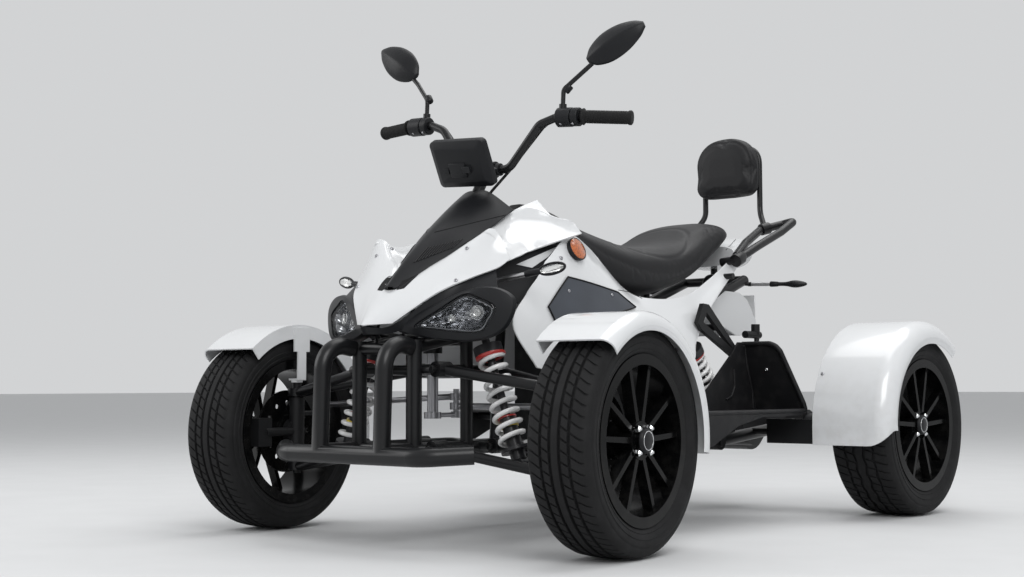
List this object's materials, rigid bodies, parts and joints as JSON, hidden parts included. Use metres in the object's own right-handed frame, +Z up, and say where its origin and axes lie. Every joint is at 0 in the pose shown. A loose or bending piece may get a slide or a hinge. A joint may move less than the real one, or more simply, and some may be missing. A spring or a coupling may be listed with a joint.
{
  "type": "electric quad bike",
  "caption": "Road-going electric quad bike with cycle mudguards, wishbone front suspension, raked handlebar, dished saddle and padded backrest.",
  "frame": {"origin": "on the ground under the middle of the vehicle's length and width", "axes": "+X to the rider's left, +Y to the rear, +Z up"},
  "size_m": [1.4011, 2.0011, 1.3638],
  "materials": {
    "gloss_white": "glossy white moulded panel",
    "cowl_black": "satin black moulding",
    "frame_black": "gloss black coated tube",
    "bumper_black": "gloss black coated tube",
    "cast_black": "black coated casting",
    "spring_white": "white coated wire",
    "damper_dark": "black and bright damper body",
    "reflector": "bright faceted reflector",
    "lamp_lens": "clear lamp lens",
    "amber": "amber reflector",
    "clear_lens": "clear indicator lens",
    "tail_red": "red lamp lens",
    "slate": "slate grey inlay",
    "vinyl": "black grained vinyl",
    "well_black": "ribbed black moulding",
    "battery": "dark grey case",
    "axle": "dark cast housing",
    "steel": "plain steel",
    "grip_rubber": "ribbed black rubber",
    "glass_mirror": "silvered glass",
    "tyre": "black road tyre",
    "rim_black": "gloss black cast wheel"
  },
  "bodies": {
    "chassis": {"frame_left": "frame_black", "frame_right": "frame_black", "cross_tubes": "frame_black", "steering_head": "frame_black", "panel_stays": "frame_black", "front_bumper": "bumper_black", "suspension_arms": "frame_black", "dampers": "damper_dark", "springs": "spring_white", "hood": "gloss_white", "upper_wings": "gloss_white", "cowl": "cowl_black", "headlamp_housings": "cowl_black", "headlamp_reflectors": "reflector", "headlamp_lenses": "lamp_lens", "side_panels": "gloss_white", "side_inserts": "slate", "side_reflectors": "amber", "indicator_stalks": "cowl_black", "indicator_lenses": "clear_lens", "seat": "vinyl", "tail_cover": "gloss_white", "tail_lamp": "tail_red", "grab_rails": "frame_black", "backrest_frame": "frame_black", "backrest_pad": "vinyl", "footwells": "well_black", "footwell_brackets": "cast_black", "brake_unit": "cast_black", "battery_pack": "battery", "swing_arm": "frame_black", "drive_axle": "axle", "rear_fenders": "gloss_white"},
    "steering": {"steering_column": "frame_black", "handlebar": "bumper_black", "grips": "grip_rubber", "switch_pods": "cowl_black", "mirror_stems": "frame_black", "mirror_heads": "cowl_black", "mirror_glass": "glass_mirror", "dash": "cowl_black"},
    "pitman": {"pitman": "steel"},
    "knuckle_left": {"knuckle_left": "cast_black", "front_fender_left": "gloss_white"},
    "knuckle_right": {"knuckle_right": "cast_black", "front_fender_right": "gloss_white"},
    "tie_rod_left": {"tie_rod_left": "steel"},
    "tie_rod_right": {"tie_rod_right": "steel"},
    "wheel_fl": {"tyre_fl": "tyre", "rim_fl": "rim_black"},
    "wheel_fr": {"tyre_fr": "tyre", "rim_fr": "rim_black"},
    "wheel_rl": {"tyre_rl": "tyre", "rim_rl": "rim_black"},
    "wheel_rr": {"tyre_rr": "tyre", "rim_rr": "rim_black"}
  },
  "joints": [
    {"name": "steer", "type": "hinge", "parent": "chassis", "child": "steering", "pos_m": [0, -0.493, 0.947], "axis": [0, 0.5, 0.866], "range_deg": [-36, 24]},
    {"name": "pitman_turn", "type": "hinge", "parent": "chassis", "child": "pitman", "pos_m": [0, -0.69334, 0.5], "axis": [0, 0, 1], "range_deg": [-36, 24]},
    {"name": "knuckle_left_turn", "type": "hinge", "parent": "chassis", "child": "knuckle_left", "pos_m": [0.5, -0.707, 0.265], "axis": [0, 0, 1], "range_deg": [-36, 24]},
    {"name": "knuckle_right_turn", "type": "hinge", "parent": "chassis", "child": "knuckle_right", "pos_m": [-0.5, -0.707, 0.265], "axis": [0, 0, 1], "range_deg": [-36, 24]},
    {"name": "tie_rod_left_turn", "type": "hinge", "parent": "knuckle_left", "child": "tie_rod_left", "pos_m": [0.48955, -0.60755, 0.336], "axis": [0, 0, 1], "range_deg": [-24, 36]},
    {"name": "tie_rod_right_turn", "type": "hinge", "parent": "knuckle_right", "child": "tie_rod_right", "pos_m": [-0.51045, -0.60755, 0.336], "axis": [0, 0, 1], "range_deg": [-24, 36]},
    {"name": "wheel_fl_spin", "type": "hinge", "parent": "knuckle_left", "child": "wheel_fl", "pos_m": [0.57956, -0.69864, 0.265], "axis": [0.9945, 0.1045, 0], "continuous": true},
    {"name": "wheel_fr_spin", "type": "hinge", "parent": "knuckle_right", "child": "wheel_fr", "pos_m": [-0.57956, -0.71536, 0.265], "axis": [0.9945, 0.1045, 0], "continuous": true},
    {"name": "wheel_rl_spin", "type": "hinge", "parent": "chassis", "child": "wheel_rl", "pos_m": [0.575, 0.733, 0.268], "axis": [1, 0, 0], "continuous": true},
    {"name": "wheel_rr_spin", "type": "hinge", "parent": "chassis", "child": "wheel_rr", "pos_m": [-0.575, 0.733, 0.268], "axis": [1, 0, 0], "continuous": true}
  ],
  "couplings": [
    {"joint": "pitman_turn", "follows": "steer", "ratio": 1},
    {"joint": "knuckle_left_turn", "follows": "steer", "ratio": 1},
    {"joint": "knuckle_right_turn", "follows": "steer", "ratio": 1},
    {"joint": "tie_rod_left_turn", "follows": "steer", "ratio": -1},
    {"joint": "tie_rod_right_turn", "follows": "steer", "ratio": -1}
  ]
}
